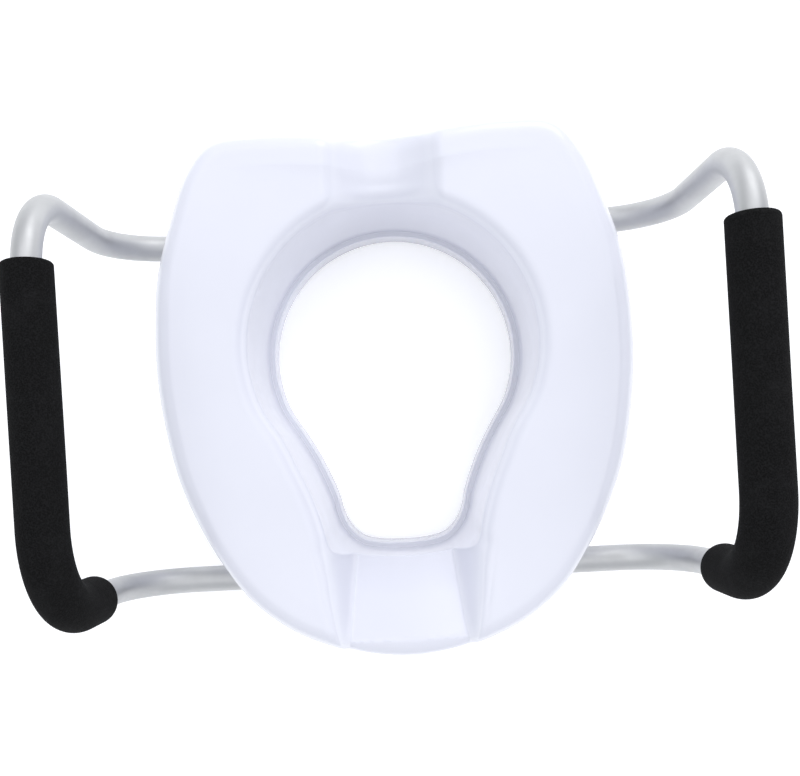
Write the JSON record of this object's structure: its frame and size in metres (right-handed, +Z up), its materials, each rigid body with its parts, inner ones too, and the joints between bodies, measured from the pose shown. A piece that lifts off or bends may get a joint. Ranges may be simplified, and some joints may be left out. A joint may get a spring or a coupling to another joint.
{
  "type": "raised toilet seat",
  "caption": "Raised toilet seat: a white moulded ring seat with cut-outs, padded pull-out tubular arms and a screw clamp for the bowl rim.",
  "frame": {"origin": "middle of the whole object's plan, level with the lowest edge of the splash collar", "axes": "+X towards the sitter's left, the longest extent; +Y towards the rear of the seat; +Z up"},
  "size_m": [0.5488, 0.4466, 0.3063],
  "materials": {
    "seat_plastic": "glossy white blow-moulded plastic with a faint cool tint, fine scuffs",
    "fitting_plastic": "satin white moulded plastic",
    "arm_aluminium": "satin anodised aluminium tube",
    "grip_foam": "closed-cell black foam with a fine grain",
    "knob_plastic": "dark grey moulded plastic with a fine texture",
    "pad_rubber": "matt black rubber",
    "bracket_steel": "zinc-plated steel",
    "spring_steel": "bright stainless steel"
  },
  "bodies": {
    "seat": {"seat_body": "seat_plastic", "left_rear_arm_socket": "fitting_plastic", "left_rear_rest_pad": "pad_rubber", "left_front_arm_socket": "fitting_plastic", "left_front_rest_pad": "pad_rubber", "left_rear_stop": "bracket_steel", "left_rear_stop_pad": "pad_rubber", "left_rear_stop_screw_1": "bracket_steel", "left_rear_stop_screw_2": "bracket_steel", "right_rear_arm_socket": "fitting_plastic", "right_rear_rest_pad": "pad_rubber", "right_front_arm_socket": "fitting_plastic", "right_front_rest_pad": "pad_rubber", "right_rear_stop": "bracket_steel", "right_rear_stop_pad": "pad_rubber", "right_rear_stop_screw_1": "bracket_steel", "right_rear_stop_screw_2": "bracket_steel", "screw_bush": "fitting_plastic"},
    "clamp_screw": {"clamp_knob": "knob_plastic", "clamp_screw": "bracket_steel", "screw_retaining_clip": "spring_steel"},
    "clamp_jaw": {"clamp_jaw": "fitting_plastic", "clamp_nut": "bracket_steel", "clamp_jaw_pad": "pad_rubber"},
    "left_arm": {"left_arm_tube": "arm_aluminium", "left_arm_grip": "grip_foam", "left_rear_snap_spring": "spring_steel", "left_front_snap_spring": "spring_steel"},
    "left_rear_snap_button": {"left_rear_snap_button": "spring_steel"},
    "left_front_snap_button": {"left_front_snap_button": "spring_steel"},
    "right_arm": {"right_arm_tube": "arm_aluminium", "right_arm_grip": "grip_foam", "right_rear_snap_spring": "spring_steel", "right_front_snap_spring": "spring_steel"},
    "right_rear_snap_button": {"right_rear_snap_button": "spring_steel"},
    "right_front_snap_button": {"right_front_snap_button": "spring_steel"}
  },
  "joints": [
    {"name": "clamp_knob_turn", "type": "hinge", "parent": "seat", "child": "clamp_screw", "pos_m": [0, -0.2, 0.05], "axis": [0, 1, 0], "range_deg": [0, 1080]},
    {"name": "clamp_jaw_slide", "type": "slide", "parent": "seat", "child": "clamp_jaw", "axis": [0, -1, 0], "range_m": [0, 0.0181]},
    {"name": "left_arm_slide", "type": "slide", "parent": "seat", "child": "left_arm", "axis": [1, 0, 0], "range_m": [0, 0.09], "deforming": ["left_rear_snap_button", "left_front_snap_button"]},
    {"name": "left_rear_snap_button_press", "type": "slide", "parent": "left_arm", "child": "left_rear_snap_button", "axis": [0, 0, 1], "range_m": [0, 0.0037], "stiffness_N_per_m": 1500, "springref_m": -0.002, "deforming": ["left_rear_snap_spring"]},
    {"name": "left_front_snap_button_press", "type": "slide", "parent": "left_arm", "child": "left_front_snap_button", "axis": [0, 0, 1], "range_m": [0, 0.0037], "stiffness_N_per_m": 1500, "springref_m": -0.002, "deforming": ["left_front_snap_spring"]},
    {"name": "right_arm_slide", "type": "slide", "parent": "seat", "child": "right_arm", "axis": [-1, 0, 0], "range_m": [0, 0.09], "deforming": ["right_rear_snap_button", "right_front_snap_button"]},
    {"name": "right_rear_snap_button_press", "type": "slide", "parent": "right_arm", "child": "right_rear_snap_button", "axis": [0, 0, 1], "range_m": [0, 0.0037], "stiffness_N_per_m": 1500, "springref_m": -0.002, "deforming": ["right_rear_snap_spring"]},
    {"name": "right_front_snap_button_press", "type": "slide", "parent": "right_arm", "child": "right_front_snap_button", "axis": [0, 0, 1], "range_m": [0, 0.0037], "stiffness_N_per_m": 1500, "springref_m": -0.002, "deforming": ["right_front_snap_spring"]}
  ],
  "couplings": [
    {"joint": "clamp_jaw_slide", "follows": "clamp_knob_turn", "m_per_rad": 0.00095493}
  ]
}
